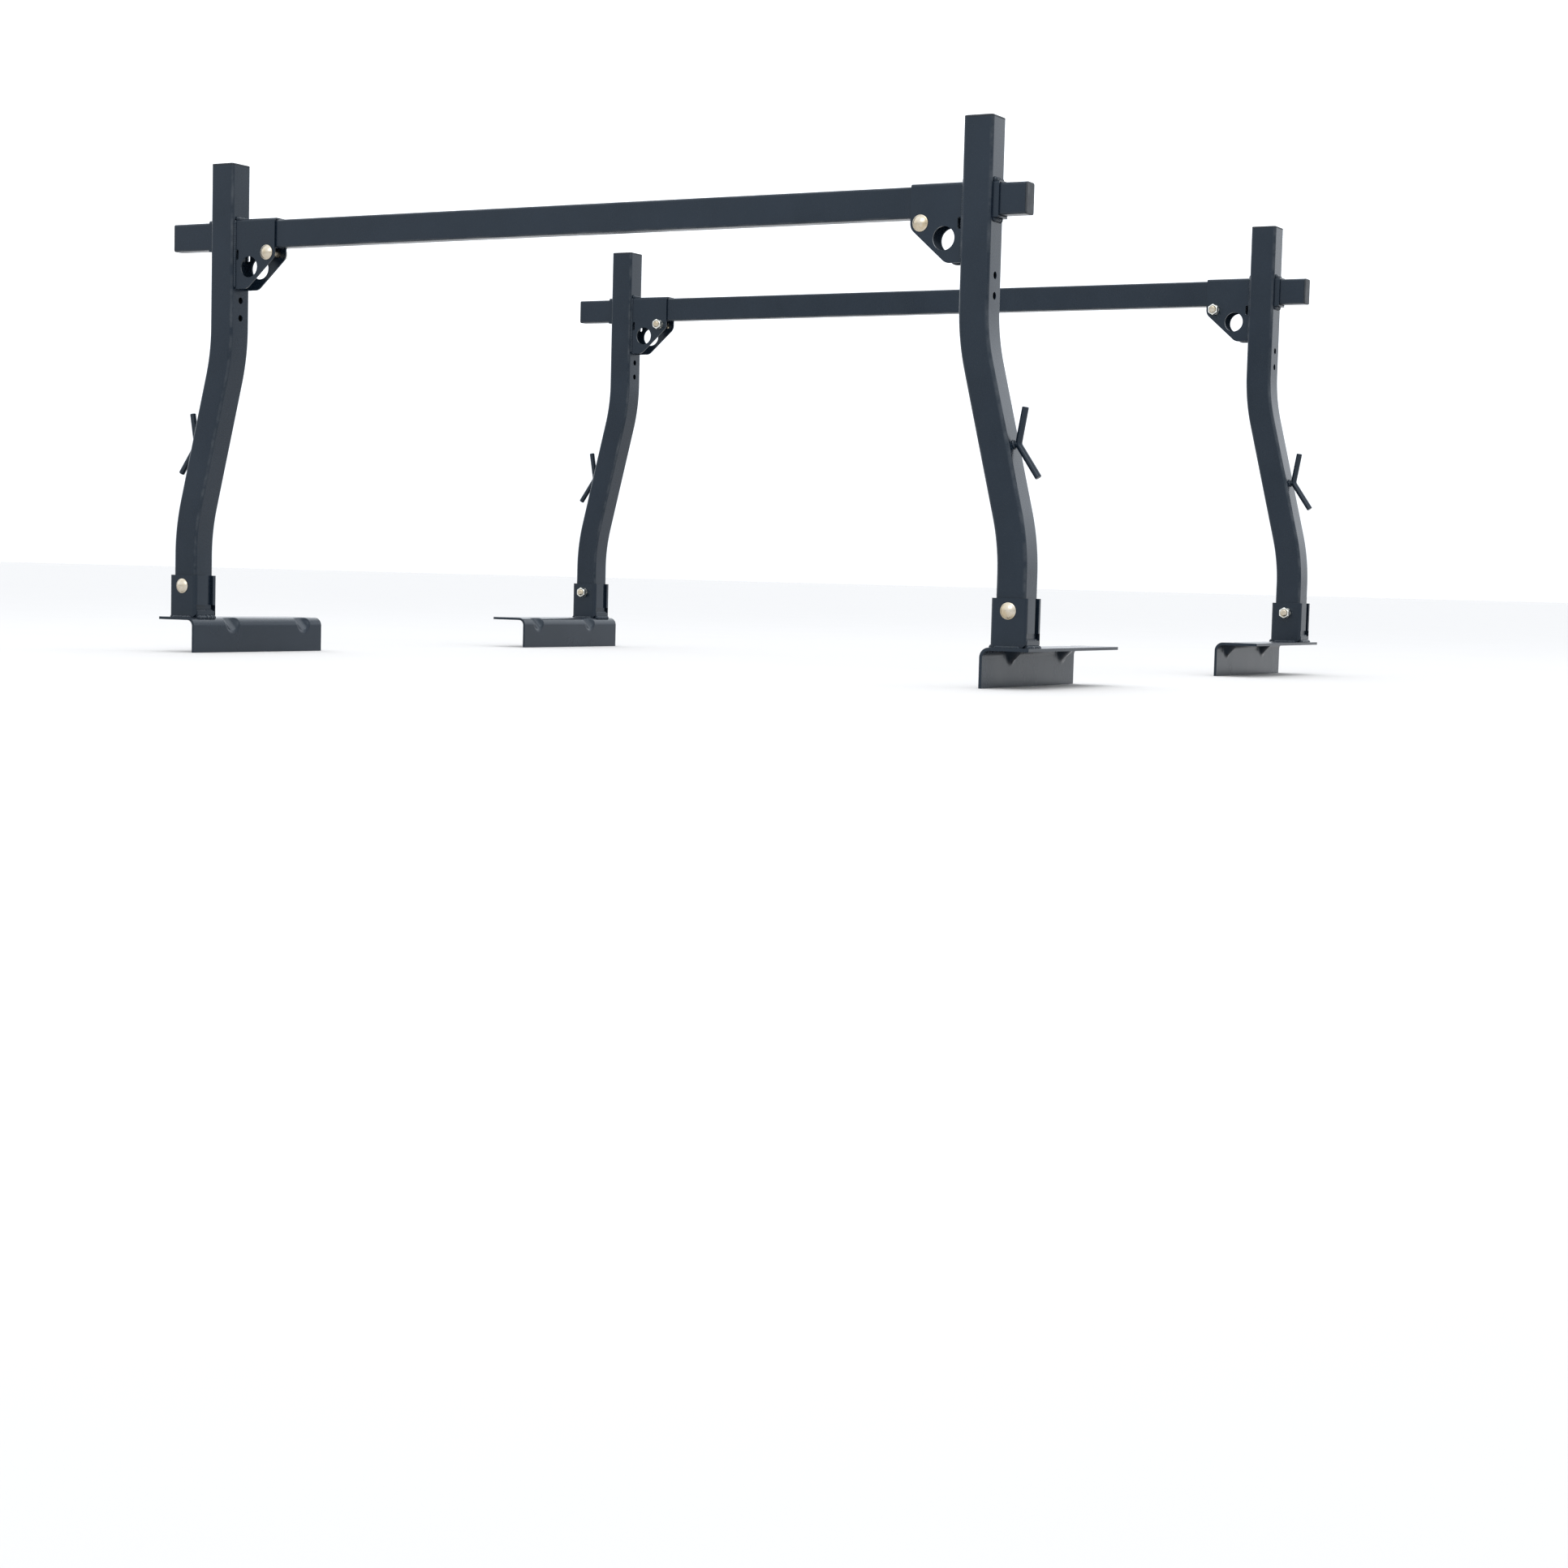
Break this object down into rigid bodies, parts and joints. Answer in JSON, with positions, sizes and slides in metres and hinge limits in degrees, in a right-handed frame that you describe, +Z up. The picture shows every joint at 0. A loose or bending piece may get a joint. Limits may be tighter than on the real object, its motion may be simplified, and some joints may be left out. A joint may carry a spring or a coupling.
{
  "type": "ladder rack",
  "caption": "Black steel ladder rack for a pickup bed: bent square posts in bolted sockets on rail plates carry crossbars in sliding brackets, with rod rope cleats on the sides.",
  "frame": {"origin": "under the middle of the rack, on the plane of the base plates' lowest edges", "axes": "+Z up, +X to the truck's right, +Y towards the truck's cab"},
  "size_m": [1.761, 1.464, 0.895],
  "materials": {
    "black_steel": "satin black powder coat",
    "black_plastic": "matte moulded plastic",
    "zinc_plate": "bright yellow-tinted zinc plate"
  },
  "bodies": {
    "rear_bar": {"rear_crossbar": "black_steel", "rear_crossbar_left_cap": "black_plastic", "rear_crossbar_right_cap": "black_plastic"},
    "rear_left_upright": {"rear_left_post": "black_steel", "rear_left_post_cap": "black_plastic", "rear_left_bar_bracket": "black_steel", "rear_left_rope_cleat": "black_steel", "rear_left_base_plate": "black_steel", "rear_left_socket_outer_half": "black_steel", "rear_left_socket_inner_half": "black_steel", "rear_left_post_bolt": "zinc_plate", "rear_left_post_washer": "zinc_plate", "rear_left_post_nut": "zinc_plate", "rear_left_clamp_bolt": "zinc_plate", "rear_left_clamp_washer": "zinc_plate", "rear_left_clamp_nut": "zinc_plate"},
    "rear_right_upright": {"rear_right_post": "black_steel", "rear_right_post_cap": "black_plastic", "rear_right_bar_bracket": "black_steel", "rear_right_rope_cleat": "black_steel", "rear_right_base_plate": "black_steel", "rear_right_socket_outer_half": "black_steel", "rear_right_socket_inner_half": "black_steel", "rear_right_post_bolt": "zinc_plate", "rear_right_post_washer": "zinc_plate", "rear_right_post_nut": "zinc_plate", "rear_right_clamp_bolt": "zinc_plate", "rear_right_clamp_washer": "zinc_plate", "rear_right_clamp_nut": "zinc_plate"},
    "front_bar": {"front_crossbar": "black_steel", "front_crossbar_left_cap": "black_plastic", "front_crossbar_right_cap": "black_plastic"},
    "front_left_upright": {"front_left_post": "black_steel", "front_left_post_cap": "black_plastic", "front_left_bar_bracket": "black_steel", "front_left_rope_cleat": "black_steel", "front_left_base_plate": "black_steel", "front_left_socket_outer_half": "black_steel", "front_left_socket_inner_half": "black_steel", "front_left_post_bolt": "zinc_plate", "front_left_post_washer": "zinc_plate", "front_left_post_nut": "zinc_plate", "front_left_clamp_bolt": "zinc_plate", "front_left_clamp_washer": "zinc_plate", "front_left_clamp_nut": "zinc_plate"},
    "front_right_upright": {"front_right_post": "black_steel", "front_right_post_cap": "black_plastic", "front_right_bar_bracket": "black_steel", "front_right_rope_cleat": "black_steel", "front_right_base_plate": "black_steel", "front_right_socket_outer_half": "black_steel", "front_right_socket_inner_half": "black_steel", "front_right_post_bolt": "zinc_plate", "front_right_post_washer": "zinc_plate", "front_right_post_nut": "zinc_plate", "front_right_clamp_bolt": "zinc_plate", "front_right_clamp_washer": "zinc_plate", "front_right_clamp_nut": "zinc_plate"}
  },
  "joints": [
    {"name": "frame_spacing", "type": "slide", "parent": "rear_bar", "child": "front_bar", "axis": [0, 1, 0], "range_m": [-0.4, 0.5]},
    {"name": "rear_left_post_slide", "type": "slide", "parent": "rear_bar", "child": "rear_left_upright", "axis": [1, 0, 0], "range_m": [-0.075, 0.2]},
    {"name": "rear_right_post_slide", "type": "slide", "parent": "rear_bar", "child": "rear_right_upright", "axis": [1, 0, 0], "range_m": [-0.2, 0.035]},
    {"name": "front_left_post_slide", "type": "slide", "parent": "front_bar", "child": "front_left_upright", "axis": [1, 0, 0], "range_m": [-0.07, 0.2]},
    {"name": "front_right_post_slide", "type": "slide", "parent": "front_bar", "child": "front_right_upright", "axis": [1, 0, 0], "range_m": [-0.2, 0.04]}
  ]
}
